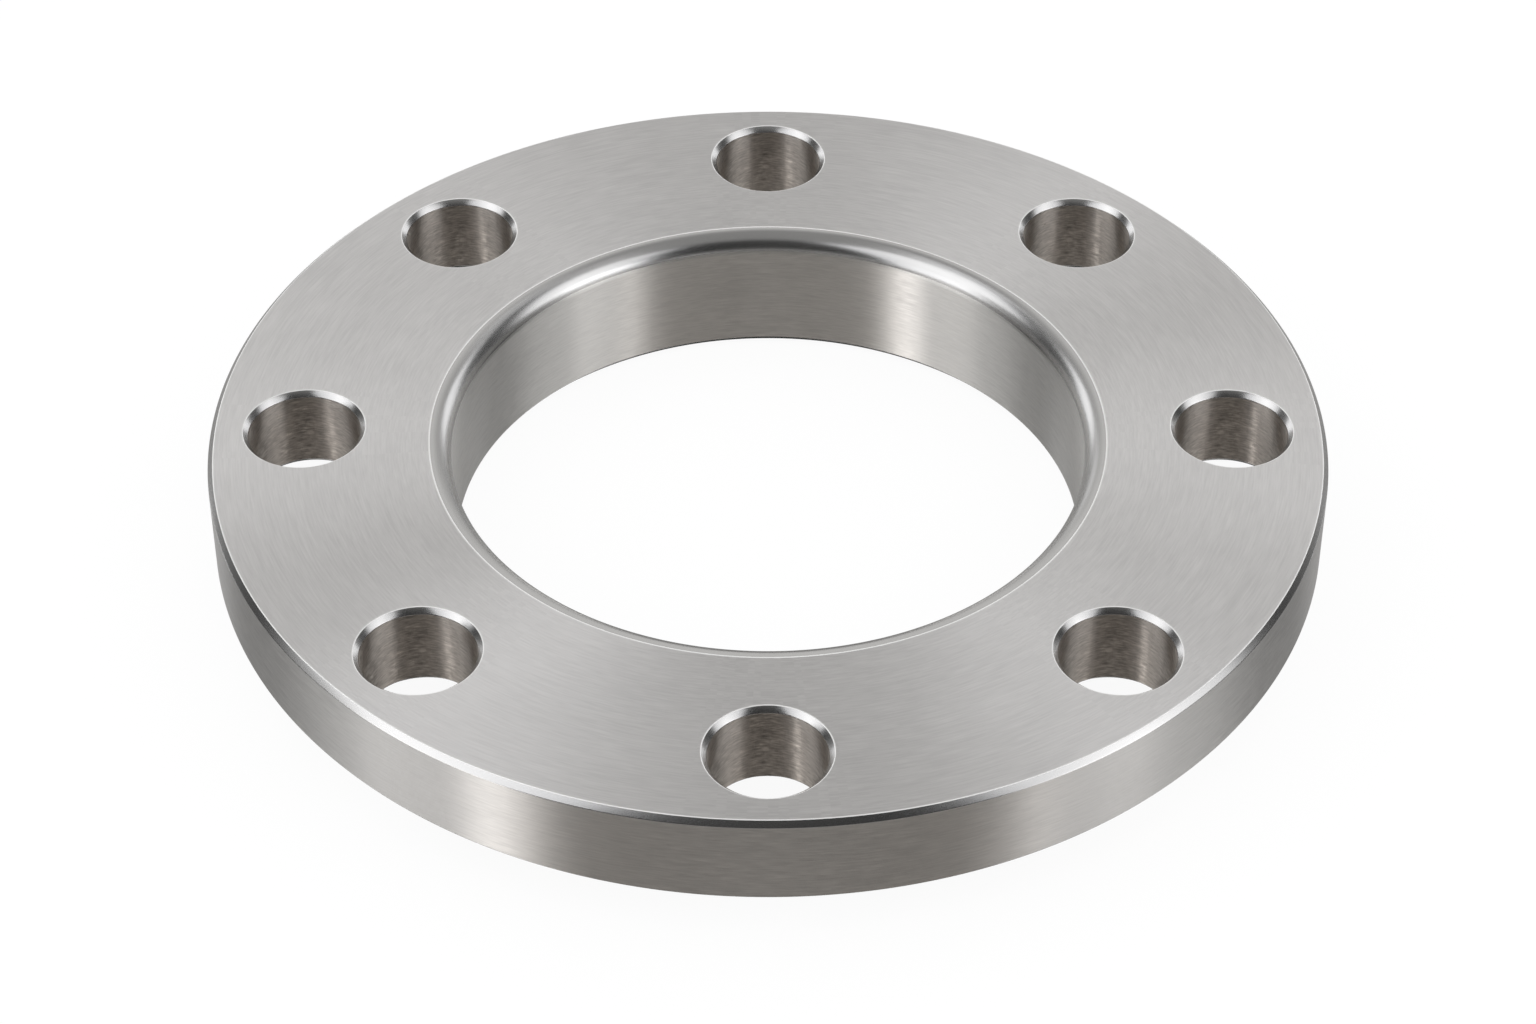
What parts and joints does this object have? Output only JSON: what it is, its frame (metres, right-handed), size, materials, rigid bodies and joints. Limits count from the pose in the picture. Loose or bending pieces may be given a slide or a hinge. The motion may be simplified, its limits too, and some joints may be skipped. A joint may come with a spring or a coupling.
{
  "type": "lap joint flange",
  "caption": "Lap joint flange: a turned steel ring with a low hub, a wide bore rounded at the lap face and chamfered bolt holes, which bears on the back of a stub end's lap.",
  "frame": {"origin": "centre of the hub's end face, which the flange rests on", "axes": "+Z along the bore towards the lap face, +X through the centre of a bolt hole"},
  "size_m": [0.229, 0.229, 0.029],
  "materials": {
    "stainless_steel": "fine turned satin faces, rim and bore, with a polished lap radius and polished chamfers"
  },
  "bodies": {
    "root": {"lap_joint_flange": "stainless_steel"}
  },
  "joints": []
}
